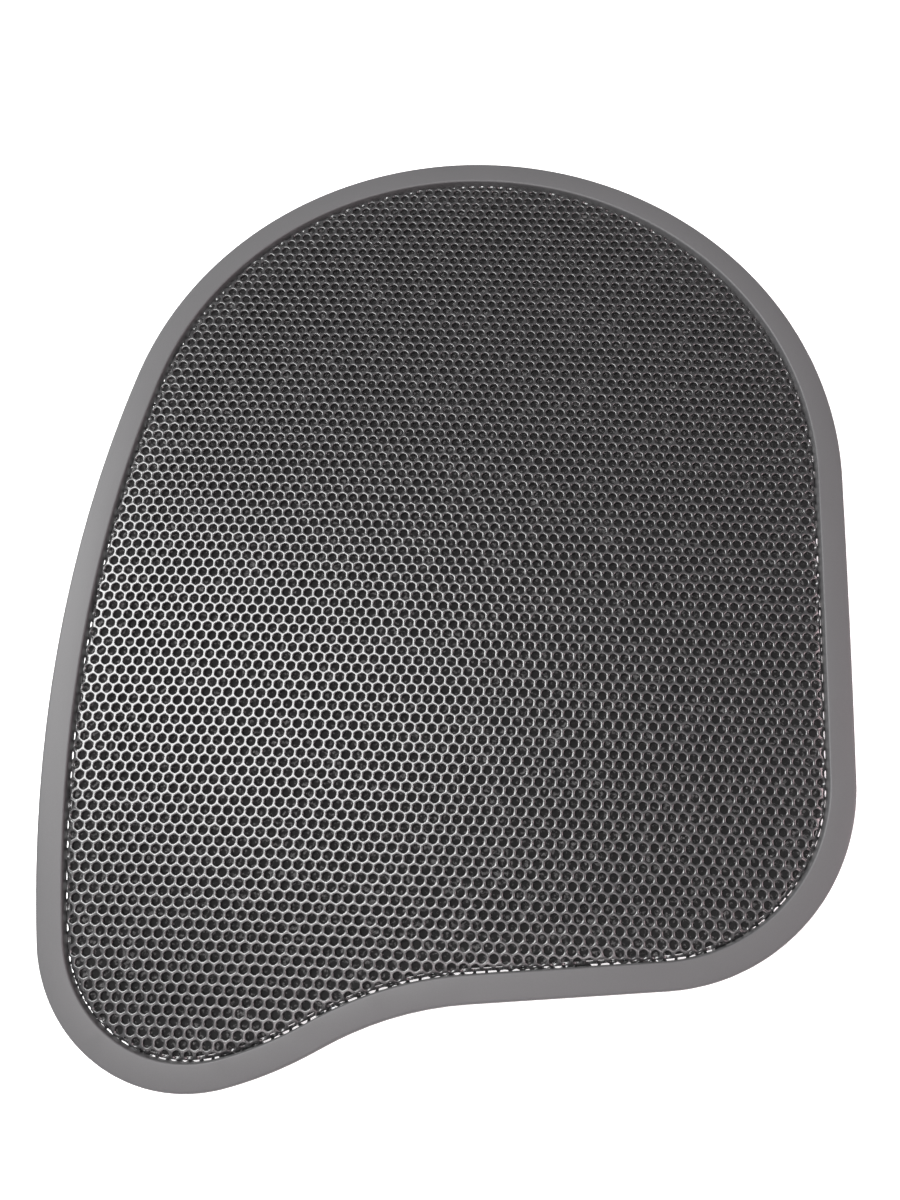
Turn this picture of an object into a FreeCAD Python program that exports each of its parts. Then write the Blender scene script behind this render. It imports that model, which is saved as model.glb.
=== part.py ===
"""Loudspeaker grille for a vehicle door: a moulded bezel round a crowned, perforated steel mesh.

Frame: +Z points out of the front face, +Y to the top of the outline, millimetres.
The origin is under the middle of the outline, on the plane that the spring clips stand on.
Depths are measured down from the crowned front surface, insets inwards from the outer edge.
"""
import FreeCAD
import Part
import math
import os

from FreeCAD import Placement, Rotation, Vector

# ---- outline: circles joined by tangent lines and arcs -------------------------------------
SPEAKER_R = 87.1                 # big circle, concentric with the loudspeaker
CORNER_AT = (39.1, -72.3)        # lower right circle, from the speaker's axis
CORNER_R = 46.2
LOBE_AT = (-56.6, -108.7)        # lower left circle, from the speaker's axis
LOBE_R = 33.6
LEFT_R = 337.0                   # long left side
BOTTOM_NORMAL = -84.1            # outward normal of the bottom edge, degrees
WAIST_NORMAL = -60.2             # outward normal of the edge between hollow and lobe
HOLLOW_R = 74.5                  # concave sweep in the bottom edge
SHOULDER_R = 85.7                # from that edge into the lobe
SHOULDER_NORMAL = -73.5

# ---- crown of the front surface ---------------------------------------------------------------
HEIGHT = 22.0                    # crown's top above the standing plane
CROWN_R_LONG = 1500.0            # bend along Y
CROWN_R_WIDE = 4200.0            # bend along X
CROWN_AT = (-7.1, -12.1)         # crown's top in X and Y
CROWN_SPAN = 300.0               # size of the crowned slabs, wider than any outline

# ---- bezel ------------------------------------------------------------------------------------
FACE_WIDTH = 5.9
FACE_THICK = 1.8
SKIRT_THICK = 1.8
SKIRT_DEPTH = 6.0
LIP_THICK = 1.2
LIP_DEPTH = 2.7
OUTER_ROUND = 0.8
LIP_ROUND = 0.4
FOOT_SETBACK = 0.5               # feet of towers and pins, back from the lip's inner side

# ---- steel mesh, cloth and bond ------------------------------------------------------------------
SHEET = 0.6
MESH_DROP = 0.35                 # mesh face below the bezel's face
LIP_GAP = 0.4                    # shadow gap between lip and mesh
ROLL_R = 1.6                     # outer radius of the rolled edge
FLANGE_EDGE_GAP = 0.3            # from the flange's edge to the skirt
SEAT_GAP = 0.05                  # between parts that lie on each other
CLOTH_MARGIN = 0.13              # from the mesh's inner wall to the cloth's edge
CLOTH_THICK = 0.5
CLOTH_ROUND = 0.45               # the cloth's front edge, where it lies in the rolled edge
BOND_MARGIN = 0.1                # from the end of the rolled edge to the bond's edge
BOND_THICK = 0.15
BOND_WIDTH = 6.0

# ---- studs and push-on retainers -------------------------------------------------------------------
STUD_R = 1.0
STUD_LENGTH = 3.4                # below the lip
STUD_INSET = 4.6
STUD_HOLE_CLEARANCE = 0.15
RETAINER_R = 2.6
RETAINER_THICK = 0.4
RETAINER_DISH = 0.5
RETAINER_TEETH = 6
RETAINER_SLOT = 0.5
RETAINER_CLEARANCE = 0.02        # radial, teeth to stud
RETAINER_SEAT = 0.28             # below the flange, so that the sloping sheet clears the rim

# ---- clip towers and spring clips -------------------------------------------------------------------
TOWER_COUNT = 6
TOWER_LENGTH = 12.0
BLADE_THICK = 2.0
BLADE_WIDTH = 9.0
BLADE_TIP_GAP = 0.7              # blade's tip above the standing plane
WINDOW_WIDTH = 4.0
WINDOW_BOTTOM = 3.2
WINDOW_TOP = 6.4
CLIP_SHEET = 0.5
CLIP_WIDTH = 8.0
CLIP_CLEARANCE = 0.1             # each side of the blade
CLIP_BULGE = 3.2                 # half width over the spring wings
CLIP_BULGE_AT = 4.6
CLIP_WAIST_AT = 7.6
CLIP_TOP_AT = 8.8
TONGUE_WIDTH = 3.2

# ---- locating pins, felt lands ------------------------------------------------------------------------
PIN_R = 2.0
PIN_TIP_AT = 3.0                 # pin's end above the standing plane
PIN_CHAMFER = 0.8
PIN_FOOT_LENGTH = 7.0
COLLAR_R = 3.2                   # flat stop at the pin's root
COLLAR_DROP = 0.8                # its face below the foot
PIN_BAYS = (0, 3)
LAND_LENGTH = 26.0
LAND_INNER = 4.6                 # inset of the land's inner side
FELT_THICK = 1.2
FELT_MARGIN = 0.4
NOTCH_CLEARANCE = 0.4

# ---- places along one bay, from one tower to the next, as shares of the bay ---------------------------
FIRST_TOWER = 32.0               # from the outline's start, at the top of the left side
RETAINER_PLACES = (0.2, 0.8)
PIN_PLACE = 0.335
LAND_PLACE = 0.5


def unit(angle):
    return Vector(math.cos(angle), math.sin(angle), 0)


def angle_of(vector):
    return math.atan2(vector.y, vector.x)


def circle_meeting(first, first_distance, second, second_distance):
    """Point at both distances, on the right of the way from first to second."""
    way = second - first
    span = way.Length
    along = (first_distance ** 2 - second_distance ** 2 + span ** 2) / (2 * span)
    across = math.sqrt(first_distance ** 2 - along ** 2)
    way.normalize()
    return first + way * along + Vector(way.y, -way.x, 0) * across


def line_meeting(normal_a, offset_a, normal_b, offset_b):
    """Point p with p.normal_a = offset_a and p.normal_b = offset_b."""
    det = normal_a.x * normal_b.y - normal_a.y * normal_b.x
    return Vector((offset_a * normal_b.y - offset_b * normal_a.y) / det,
                  (normal_a.x * offset_b - normal_b.x * offset_a) / det, 0)


def outline_arcs():
    """Arcs in clockwise order: centre, radius (minus where hollow), first and last normal."""
    speaker = Vector(0, 0, 0)
    corner = Vector(*CORNER_AT, 0)
    lobe = Vector(*LOBE_AT, 0)
    to_corner = corner - speaker
    right = angle_of(to_corner) + math.acos((SPEAKER_R - CORNER_R) / to_corner.Length)
    bottom = math.radians(BOTTOM_NORMAL)
    waist = math.radians(WAIST_NORMAL)
    join = math.radians(SHOULDER_NORMAL)
    shoulder = lobe + unit(join) * (LOBE_R - SHOULDER_R)
    hollow = line_meeting(unit(bottom), corner.dot(unit(bottom)) + CORNER_R + HOLLOW_R,
                          unit(waist), shoulder.dot(unit(waist)) + SHOULDER_R + HOLLOW_R)
    left = circle_meeting(lobe, LEFT_R - LOBE_R, speaker, LEFT_R - SPEAKER_R)
    low_left = angle_of(lobe - left)
    high_left = angle_of(speaker - left)
    turn = 2 * math.pi
    return [
        (speaker, SPEAKER_R, high_left, right),
        (corner, CORNER_R, right, bottom),
        (hollow, -HOLLOW_R, bottom, waist),
        (shoulder, SHOULDER_R, waist, join),
        (lobe, LOBE_R, join, low_left),
        (left, LEFT_R, low_left, high_left - turn),
    ]


ARCS = outline_arcs()


def arc_point(arc, normal, inset):
    centre, radius = arc[:2]
    return centre + unit(normal) * (radius - inset)


def outline_edges(inset):
    edges = []
    for index, arc in enumerate(ARCS):
        first, last = arc[2:]
        start, end = arc_point(arc, first, inset), arc_point(arc, last, inset)
        middle = arc_point(arc, (first + last) / 2, inset)
        edges.append(Part.Arc(start, middle, end).toShape())
        following = ARCS[(index + 1) % len(ARCS)]
        landing = arc_point(following, following[2], inset)
        if (landing - end).Length > 0.01:
            edges.append(Part.LineSegment(end, landing).toShape())
    return edges


# The origin is under the middle of the outline's box.
BOX = Part.Wire(outline_edges(0)).BoundBox
SHIFT = Vector(-BOX.Center.x, -BOX.Center.y, 0)


def prism(inset):
    """The outline, moved inwards by inset, as a tall solid."""
    face = Part.Face(Part.Wire(outline_edges(inset)))
    face.translate(SHIFT + Vector(0, 0, -HEIGHT))
    return face.extrude(Vector(0, 0, 3 * HEIGHT))


def slab(top, bottom):
    """The crowned layer between two depths."""
    low_centre = HEIGHT - CROWN_R_LONG
    half = CROWN_SPAN / 2

    def arc_ends(depth):
        radius = CROWN_R_LONG - depth
        reach = math.asin(half / CROWN_R_LONG)
        points = []
        for angle in (-reach, 0, reach):
            points.append(Vector(CROWN_AT[0], CROWN_AT[1] + radius * math.sin(angle),
                                 low_centre + radius * math.cos(angle)))
        return points

    upper, lower = arc_ends(top), arc_ends(bottom)
    wire = Part.Wire([
        Part.Arc(*upper).toShape(),
        Part.LineSegment(upper[2], lower[2]).toShape(),
        Part.Arc(*reversed(lower)).toShape(),
        Part.LineSegment(lower[0], upper[0]).toShape(),
    ])
    axis_at = Vector(CROWN_AT[0], 0, HEIGHT - CROWN_R_WIDE)
    swing = math.degrees(half / CROWN_R_WIDE)
    face = Part.Face(wire)
    face.rotate(axis_at, Vector(0, 1, 0), -swing)
    return face.revolve(axis_at, Vector(0, 1, 0), 2 * swing)


def ring(outer, inner, top, bottom):
    """Crowned band between two insets and two depths."""
    return prism(outer).cut(prism(inner)).common(slab(top, bottom))


def crown_height(point, depth=0.0):
    """Height of the crowned surface at a depth, above a point of the standing plane."""
    across, along = point.x - CROWN_AT[0], point.y - CROWN_AT[1]
    radius = CROWN_R_LONG - depth
    fall = radius - math.sqrt(radius ** 2 - along ** 2)
    sweep = CROWN_R_WIDE - depth - fall
    return HEIGHT - CROWN_R_WIDE + math.sqrt(sweep ** 2 - across ** 2)


class Station:
    """A place on the outer edge, some way clockwise from the outline's start."""

    def __init__(self, distance):
        edges = outline_edges(0)
        distance %= sum(edge.Length for edge in edges)
        for edge in edges:
            if distance <= edge.Length:
                break
            distance -= edge.Length
        parameter = edge.getParameterByLength(distance)
        self.edge_point = edge.valueAt(parameter) + SHIFT
        self.along = edge.tangentAt(parameter)
        probe = Vector(self.along.y, -self.along.x, 0)
        self.inward = probe
        self.turn = math.degrees(angle_of(self.along))

    def point(self, inset, height=0.0):
        return self.edge_point + self.inward * inset + Vector(0, 0, height)

    def box(self, length, outer, inner, low, high):
        """Upright block: its length along the edge, between two insets and two heights."""
        block = Part.makeBox(length, inner - outer, high - low)
        block.translate(Vector(-length / 2, -inner, low))
        block.Placement = Placement(self.edge_point, Rotation(Vector(0, 0, 1), self.turn)) * block.Placement
        return block


PERIMETER = sum(edge.Length for edge in outline_edges(0))
BAY = PERIMETER / TOWER_COUNT


def stations(share):
    return [Station(FIRST_TOWER + BAY * (bay + share)) for bay in range(TOWER_COUNT)]


TOWERS = stations(0)
LANDS = stations(LAND_PLACE)
PINS = [stations(PIN_PLACE)[bay] for bay in PIN_BAYS]
RETAINERS = [place for pair in zip(*(stations(share) for share in RETAINER_PLACES)) for place in pair]

BAND_MIDDLE = (SKIRT_THICK + FACE_WIDTH) / 2     # of the band behind the bezel's face
FOOT_INNER = FACE_WIDTH - FOOT_SETBACK
FLANGE_TOP = LIP_DEPTH + SEAT_GAP
FLANGE_BOTTOM = FLANGE_TOP + SHEET
MESH_OUTER = FACE_WIDTH + LIP_GAP
MESH_INNER = MESH_OUTER + SHEET
MESH_TOP = MESH_DROP
MESH_BOTTOM = MESH_DROP + SHEET
CLOTH_INSET = MESH_INNER + CLOTH_MARGIN
BOND_INSET = MESH_OUTER + ROLL_R + BOND_MARGIN
BOND_TOP = MESH_BOTTOM + SEAT_GAP
CLOTH_TOP = BOND_TOP + BOND_THICK + SEAT_GAP
ROOT = 0.2                       # how far a rear feature reaches into the wall that it grows from


def edges_on(shape, inset, depth):
    """The closed loop of edges at one inset and depth."""
    found = []
    line = Part.Wire(outline_edges(inset))
    line.translate(SHIFT)
    for edge in shape.Edges:
        middle = edge.valueAt((edge.FirstParameter + edge.LastParameter) / 2)
        if abs(middle.z - crown_height(middle, depth)) > 0.02:
            continue
        flat = Part.Vertex(Vector(middle.x, middle.y, 0))
        if line.distToShape(flat)[0] < 0.02:
            found.append(edge)
    return found


def bezel_ring():
    body = ring(0, FACE_WIDTH, 0, SKIRT_DEPTH)
    below = SKIRT_DEPTH + 2
    body = body.cut(ring(SKIRT_THICK, FACE_WIDTH - LIP_THICK, FACE_THICK, below))
    body = body.cut(ring(FACE_WIDTH - LIP_THICK - ROOT, FACE_WIDTH + ROOT, LIP_DEPTH, below))
    body = body.makeFillet(OUTER_ROUND, edges_on(body, 0, 0))
    return body.makeFillet(LIP_ROUND, edges_on(body, FACE_WIDTH, 0))


def band_block(place, length, inner, bottom):
    """Solid stretch of the band behind the face, from the face down to a depth."""
    reach = place.box(length, -1, inner + 1, -HEIGHT, 2 * HEIGHT)
    return ring(SKIRT_THICK - ROOT, inner, FACE_THICK - ROOT, bottom).common(reach)


def tower(place):
    foot = band_block(place, TOWER_LENGTH, FOOT_INNER, SKIRT_DEPTH)
    top = crown_height(place.point(BAND_MIDDLE), SKIRT_DEPTH) + 1
    outer, inner = BAND_MIDDLE - BLADE_THICK / 2, BAND_MIDDLE + BLADE_THICK / 2
    blade = place.box(BLADE_WIDTH, outer, inner, BLADE_TIP_GAP, top)
    window = place.box(WINDOW_WIDTH, outer - 1, inner + 1, WINDOW_BOTTOM, WINDOW_TOP)
    return foot.fuse(blade.cut(window))


def post(place, inset, radius, low, chamfer=0.0):
    """Round post from the face's underside down to a height."""
    top = crown_height(place.point(inset), FACE_THICK) + ROOT
    body = Part.makeCylinder(radius, top - low - chamfer, place.point(inset, low + chamfer))
    if chamfer:
        tip = Part.makeCone(radius - chamfer, radius, chamfer, place.point(inset, low))
        body = body.fuse(tip).removeSplitter()
    return body


def collar_face(place):
    return crown_height(place.point(BAND_MIDDLE), SKIRT_DEPTH) - COLLAR_DROP


def locating_pin(place):
    foot = band_block(place, PIN_FOOT_LENGTH, FOOT_INNER, SKIRT_DEPTH)
    collar = Part.makeCylinder(COLLAR_R, COLLAR_DROP + ROOT, place.point(BAND_MIDDLE, collar_face(place)))
    return foot.fuse([collar, post(place, BAND_MIDDLE, PIN_R, PIN_TIP_AT, PIN_CHAMFER)])


def stud_low(place):
    return crown_height(place.point(STUD_INSET), LIP_DEPTH) - STUD_LENGTH


def bezel():
    pieces = [tower(place) for place in TOWERS]
    pieces += [band_block(place, LAND_LENGTH, LAND_INNER, SKIRT_DEPTH) for place in LANDS]
    pieces += [locating_pin(place) for place in PINS]
    pieces += [post(place, STUD_INSET, STUD_R, stud_low(place)) for place in RETAINERS]
    return bezel_ring().fuse(pieces)


def notch(place, length, inner):
    """Room in the mesh's flange for a block of the band, which keeps to the same curve."""
    reach = place.box(length + 2 * NOTCH_CLEARANCE, -1, inner + 1 + NOTCH_CLEARANCE, -HEIGHT, 2 * HEIGHT)
    return prism(0).cut(prism(inner + NOTCH_CLEARANCE)).common(reach)


def grille_mesh():
    pan = prism(MESH_OUTER).common(slab(MESH_TOP, FLANGE_BOTTOM))
    hollow = prism(MESH_INNER).common(slab(MESH_BOTTOM, FLANGE_BOTTOM + 2))
    pan = pan.cut(hollow)
    pan = pan.makeFillet(ROLL_R, edges_on(pan, MESH_OUTER, MESH_TOP))
    pan = pan.makeFillet(ROLL_R - SHEET, edges_on(pan, MESH_INNER, MESH_BOTTOM))
    edge = SKIRT_THICK + FLANGE_EDGE_GAP
    pan = pan.fuse(ring(edge, MESH_OUTER + SHEET / 2, FLANGE_TOP, FLANGE_BOTTOM))
    cuts = []
    for places, length, inner in ((TOWERS, TOWER_LENGTH, FOOT_INNER), (LANDS, LAND_LENGTH, LAND_INNER),
                                  (PINS, PIN_FOOT_LENGTH, FOOT_INNER)):
        cuts += [notch(place, length, inner) for place in places]
    for place in RETAINERS:
        cuts.append(Part.makeCylinder(STUD_R + STUD_HOLE_CLEARANCE, HEIGHT, place.point(STUD_INSET)))
    return pan.cut(cuts)


def acoustic_cloth():
    body = prism(CLOTH_INSET).common(slab(CLOTH_TOP, CLOTH_TOP + CLOTH_THICK))
    return body.makeFillet(CLOTH_ROUND, edges_on(body, CLOTH_INSET, CLOTH_TOP))


def cloth_bond():
    return ring(BOND_INSET, BOND_INSET + BOND_WIDTH, BOND_TOP, BOND_TOP + BOND_THICK)


def push_retainer(place):
    """Dished spring washer whose teeth grip a stud of the bezel."""
    bore = STUD_R + RETAINER_CLEARANCE
    bend = (RETAINER_R + bore) / 2
    profile = [
        Vector(RETAINER_R, 0, 0), Vector(bend, 0, 0), Vector(bore, 0, -RETAINER_DISH),
        Vector(bore, 0, -RETAINER_DISH - RETAINER_THICK), Vector(bend, 0, -RETAINER_THICK),
        Vector(RETAINER_R, 0, -RETAINER_THICK), Vector(RETAINER_R, 0, 0),
    ]
    body = Part.Face(Part.makePolygon(profile)).revolve(Vector(), Vector(0, 0, 1), 360)
    slots = []
    for tooth in range(RETAINER_TEETH):
        slot = Part.makeBox(bend, RETAINER_SLOT, 4, Vector(0, -RETAINER_SLOT / 2, -2))
        slot.rotate(Vector(), Vector(0, 0, 1), 360 / RETAINER_TEETH * tooth)
        slots.append(slot)
    body = body.cut(slots)
    seat = crown_height(place.point(STUD_INSET), FLANGE_BOTTOM) - RETAINER_SEAT
    body.translate(place.point(STUD_INSET, seat))
    return body


def ribbon(points, thickness, width):
    """Bent strip: a centre line of (sideways, height) points with mitred corners."""
    sides = []
    for sign in (1, -1):
        side = []
        for index, point in enumerate(points):
            before = (point - points[index - 1]).normalize() if index else None
            after = (points[index + 1] - point).normalize() if index + 1 < len(points) else None
            before, after = before or after, after or before
            mitre = Vector(-(before.z + after.z), 0, before.x + after.x)
            mitre.normalize()
            slant = mitre.dot(Vector(-after.z, 0, after.x))
            side.append(point + mitre * (sign * thickness / 2 / slant))
        sides.append(side)
    loop = sides[0] + sides[1][::-1]
    face = Part.Face(Part.makePolygon(loop + loop[:1]))
    face.translate(Vector(0, -width / 2, 0))
    return face.extrude(Vector(0, width, 0))


def spring_clip(place):
    """U-shaped strip over a blade, with two spring wings and two tongues into its window."""
    half = CLIP_SHEET / 2
    leg = BLADE_THICK / 2 + CLIP_CLEARANCE + half
    wing = [
        Vector(leg, 0, half), Vector(leg, 0, half + BLADE_TIP_GAP), Vector(CLIP_BULGE, 0, CLIP_BULGE_AT),
        Vector(leg, 0, CLIP_WAIST_AT), Vector(leg + CLIP_SHEET, 0, CLIP_TOP_AT),
    ]
    mirrored = [Vector(-point.x, 0, point.z) for point in wing]
    body = ribbon(mirrored[::-1] + wing, CLIP_SHEET, CLIP_WIDTH)
    for sign in (1, -1):
        tongue = [Vector(sign * leg, 0, CLIP_WAIST_AT), Vector(sign * leg, 0, WINDOW_TOP),
                  Vector(sign * half * 1.6, 0, WINDOW_BOTTOM + 1)]
        body = body.fuse(ribbon(tongue, CLIP_SHEET, TONGUE_WIDTH))
    body.rotate(Vector(), Vector(0, 0, 1), place.turn + 90)
    body.translate(place.point(BAND_MIDDLE))
    return body


def felt_strip(place):
    top = SKIRT_DEPTH + SEAT_GAP
    reach = place.box(LAND_LENGTH - 2 * FELT_MARGIN, -1, LAND_INNER + 1, -HEIGHT, 2 * HEIGHT)
    return ring(FELT_MARGIN, LAND_INNER - FELT_MARGIN, top, top + FELT_THICK).common(reach)


def export(name, shape):
    solids = [solid for solid in shape.Solids if solid.Volume > 0]
    body = solids[0] if len(solids) == 1 else Part.makeCompound(solids)
    box = body.BoundBox
    print(f"{name}: solids {len(solids)} volume {body.Volume:.1f} valid {body.isValid()} "
          f"x {box.XMin:.2f} {box.XMax:.2f} y {box.YMin:.2f} {box.YMax:.2f} z {box.ZMin:.2f} {box.ZMax:.2f}")
    body.exportStep(f"parts/{name}.step")


def main():
    os.makedirs("parts", exist_ok=True)
    export("bezel", bezel())
    export("grille_mesh", grille_mesh())
    export("acoustic_cloth", acoustic_cloth())
    export("cloth_bond", cloth_bond())
    for number, place in enumerate(RETAINERS, 1):
        export(f"push_retainer_{number:02d}", push_retainer(place))
    for number, place in enumerate(TOWERS, 1):
        export(f"spring_clip_{number}", spring_clip(place))
    for number, place in enumerate(LANDS, 1):
        export(f"felt_strip_{number}", felt_strip(place))


main()
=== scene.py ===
"""Loudspeaker grille of a vehicle door, standing on its spring clips on a pale light table."""
import math

import bmesh
import bpy
import numpy as np
from mathutils import Matrix, Vector


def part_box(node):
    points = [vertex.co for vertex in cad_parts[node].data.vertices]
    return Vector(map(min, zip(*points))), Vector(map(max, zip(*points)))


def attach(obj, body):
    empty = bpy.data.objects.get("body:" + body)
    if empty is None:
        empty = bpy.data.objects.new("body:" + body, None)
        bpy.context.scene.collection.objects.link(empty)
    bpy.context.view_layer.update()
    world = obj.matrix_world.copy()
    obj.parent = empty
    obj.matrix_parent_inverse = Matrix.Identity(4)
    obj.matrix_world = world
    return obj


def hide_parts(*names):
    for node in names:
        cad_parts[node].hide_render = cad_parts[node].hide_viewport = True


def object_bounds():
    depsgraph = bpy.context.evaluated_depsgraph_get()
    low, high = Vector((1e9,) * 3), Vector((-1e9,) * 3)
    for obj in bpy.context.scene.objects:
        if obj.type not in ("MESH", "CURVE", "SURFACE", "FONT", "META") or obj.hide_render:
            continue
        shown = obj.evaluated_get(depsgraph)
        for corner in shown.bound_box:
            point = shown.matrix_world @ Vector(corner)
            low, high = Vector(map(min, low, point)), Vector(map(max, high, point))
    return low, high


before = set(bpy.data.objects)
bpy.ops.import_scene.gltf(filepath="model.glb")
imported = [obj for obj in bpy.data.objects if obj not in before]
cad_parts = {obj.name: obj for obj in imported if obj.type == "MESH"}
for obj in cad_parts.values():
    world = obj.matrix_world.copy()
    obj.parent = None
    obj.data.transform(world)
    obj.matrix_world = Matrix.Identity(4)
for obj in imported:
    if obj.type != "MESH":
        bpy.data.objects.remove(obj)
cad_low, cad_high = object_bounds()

MM = 0.001
scene = bpy.context.scene

# ---- sizes of the bezel's outline and section, as in the part's source ---------------------------------
SPEAKER_R = 87.1 * MM
CORNER_AT, CORNER_R = (39.1 * MM, -72.3 * MM), 46.2 * MM
LOBE_AT, LOBE_R = (-56.6 * MM, -108.7 * MM), 33.6 * MM
LEFT_R = 337.0 * MM
BOTTOM_NORMAL, WAIST_NORMAL, SHOULDER_NORMAL = -84.1, -60.2, -73.5
HOLLOW_R, SHOULDER_R = 74.5 * MM, 85.7 * MM
CROWN_R_LONG, CROWN_R_WIDE = 1500.0 * MM, 4200.0 * MM
CROWN_AT = (-7.1 * MM, -12.1 * MM)

FACE_WIDTH = 5.9 * MM
SHEET = 0.6 * MM
MESH_DROP = 0.35 * MM
LIP_GAP = 0.4 * MM
ROLL_R = 1.6 * MM
FLANGE_TOP = 2.75 * MM
FLANGE_END = 2.1 * MM            # inset of the flange's edge
STUD_INSET = 4.6 * MM
STUD_HOLE_R = 1.15 * MM
CROWN_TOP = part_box("grille_mesh")[1].z + MESH_DROP

# ---- places round the outline: towers with clips, felt lands, pins and studs ---------------------------
TOWER_COUNT = 6
FIRST_TOWER = 32.0 * MM          # from the outline's start, at the top of the left side
RETAINER_PLACES, PIN_PLACE, LAND_PLACE = (0.2, 0.8), 0.335, 0.5
PIN_BAYS = (0, 3)
TOWER_LENGTH, LAND_LENGTH, PIN_FOOT_LENGTH = 12.0 * MM, 26.0 * MM, 7.0 * MM
NOTCH_CLEARANCE = 0.4 * MM
FOOT_INNER, LAND_INNER = 5.4 * MM, 4.6 * MM
BAND_MIDDLE = 3.85 * MM          # inset of the blades and their clips

# ---- spring clip, seen along the outline ---------------------------------------------------------------
CLIP_SHEET, CLIP_WIDTH = 0.5 * MM, 8.0 * MM
CLIP_LEG = 1.35 * MM             # middle of a leg from the middle of the blade
CLIP_FOOT = 0.95 * MM            # height at which the wings leave the legs
CLIP_BULGE, CLIP_BULGE_AT = 3.2 * MM, 4.6 * MM
CLIP_WAIST_AT, CLIP_TOP_AT = 7.6 * MM, 8.8 * MM
TONGUE_WIDTH, TONGUE_REACH = 3.2 * MM, 0.4 * MM
TONGUE_BEND_AT, TONGUE_TIP_AT = 6.4 * MM, 4.2 * MM
LANCE_WIDTH = 3.7 * MM           # window that the tongue is cut from
WING_BEND, TONGUE_BEND = 0.8 * MM, 0.7 * MM

# ---- perforation, each width across the flats ----------------------------------------------------------
PITCH = 2.5 * MM
RIM_WIDTH = 2.24 * MM            # where the flat web ends
SHOULDER_WIDTH = 2.0 * MM        # where the rounded edge turns steep
HOLE_WIDTH = 1.84 * MM
SHOULDER_DROP, WALL_DROP = 0.045 * MM, 0.14 * MM
CORNER_SPREAD = math.radians(12)
FIRST_HOLE = (-6.36 * MM, -12.05 * MM)
PANEL_COUNT = 5


# ---- outline geometry ----------------------------------------------------------------------------------
def unit(angle):
    return np.array([math.cos(angle), math.sin(angle)])


def circle_meeting(first, first_distance, second, second_distance):
    """Point at both distances, on the right of the way from first to second."""
    way = second - first
    span = math.hypot(*way)
    along = (first_distance ** 2 - second_distance ** 2 + span ** 2) / (2 * span)
    across = math.sqrt(first_distance ** 2 - along ** 2)
    way = way / span
    return first + way * along + np.array([way[1], -way[0]]) * across


def outline_arcs():
    """Arcs in clockwise order: centre, radius (minus where hollow), first and last normal."""
    speaker, corner, lobe = np.zeros(2), np.array(CORNER_AT), np.array(LOBE_AT)
    right = math.atan2(corner[1], corner[0]) + math.acos((SPEAKER_R - CORNER_R) / math.hypot(*corner))
    bottom, waist, join = (math.radians(a) for a in (BOTTOM_NORMAL, WAIST_NORMAL, SHOULDER_NORMAL))
    shoulder = lobe + unit(join) * (LOBE_R - SHOULDER_R)
    hollow = np.linalg.solve(
        np.array([unit(bottom), unit(waist)]),
        [corner @ unit(bottom) + CORNER_R + HOLLOW_R, shoulder @ unit(waist) + SHOULDER_R + HOLLOW_R])
    left = circle_meeting(lobe, LEFT_R - LOBE_R, speaker, LEFT_R - SPEAKER_R)
    low_left = math.atan2(*(lobe - left)[::-1])
    high_left = math.atan2(*(speaker - left)[::-1])
    return [
        (speaker, SPEAKER_R, high_left, right),
        (corner, CORNER_R, right, bottom),
        (hollow, -HOLLOW_R, bottom, waist),
        (shoulder, SHOULDER_R, waist, join),
        (lobe, LOBE_R, join, low_left),
        (left, LEFT_R, low_left, high_left - 2 * math.pi),
    ]


def outline_loop(arcs, step):
    """Points and outward normals round the outline, evenly spaced along each arc and line."""
    points, normals = [], []
    for index, (centre, radius, first, last) in enumerate(arcs):
        count = max(2, round(abs(radius * (last - first)) / step))
        for angle in np.linspace(first, last, count + 1):
            points.append(centre + unit(angle) * radius)
            normals.append(unit(angle))
        after = arcs[(index + 1) % len(arcs)]
        start, end = points[-1], after[0] + unit(after[2]) * after[1]
        count = round(math.hypot(*(end - start)) / step)
        for share in np.linspace(0, 1, count + 1)[1:-1]:
            points.append(start + (end - start) * share)
            normals.append(unit(last))
    points, normals = np.array(points), np.array(normals)
    kept = np.hypot(*(points - np.roll(points, 1, axis=0)).T) > 1e-6
    return points[kept], normals[kept]


ARCS = outline_arcs()
LOOP = outline_loop(ARCS, 1 * MM)[0]
CAD_MIDDLE = (cad_low + cad_high) / 2
SHIFT = np.array([CAD_MIDDLE.x, CAD_MIDDLE.y]) - (LOOP.min(axis=0) + LOOP.max(axis=0)) / 2
ARCS = [(arc[0] + SHIFT, *arc[1:]) for arc in ARCS]


def inset_field(xy):
    """How far inside the outer edge each point is, and the outward direction there."""
    best = np.full(len(xy), 1e9)
    inset = np.zeros(len(xy))
    outward = np.zeros((len(xy), 2))

    def offer(candidate, direction, valid):
        closer = valid & (np.abs(candidate) < best)
        best[closer] = np.abs(candidate[closer])
        inset[closer] = candidate[closer]
        outward[closer] = direction[closer]

    for index, (centre, radius, first, last) in enumerate(ARCS):
        way = xy - centre
        reach = np.hypot(*way.T)
        sign = 1.0 if radius > 0 else -1.0
        direction = sign * way / np.maximum(reach, 1e-9)[:, None]
        middle = (first + last) / 2
        swing = np.arctan2(direction[:, 1], direction[:, 0]) - middle
        swing = (swing + np.pi) % (2 * np.pi) - np.pi
        offer(sign * (abs(radius) - reach), direction, np.abs(swing) <= abs(last - first) / 2 + 1e-9)
        after = ARCS[(index + 1) % len(ARCS)]
        start, end = centre + unit(last) * radius, after[0] + unit(after[2]) * after[1]
        length = math.hypot(*(end - start))
        if length > 0.01 * MM:
            along = (xy - start) @ (end - start) / length
            direction = np.broadcast_to(unit(last), xy.shape)
            offer(-((xy - start) @ unit(last)), direction, (along >= 0) & (along <= length))
    return inset, outward


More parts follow.
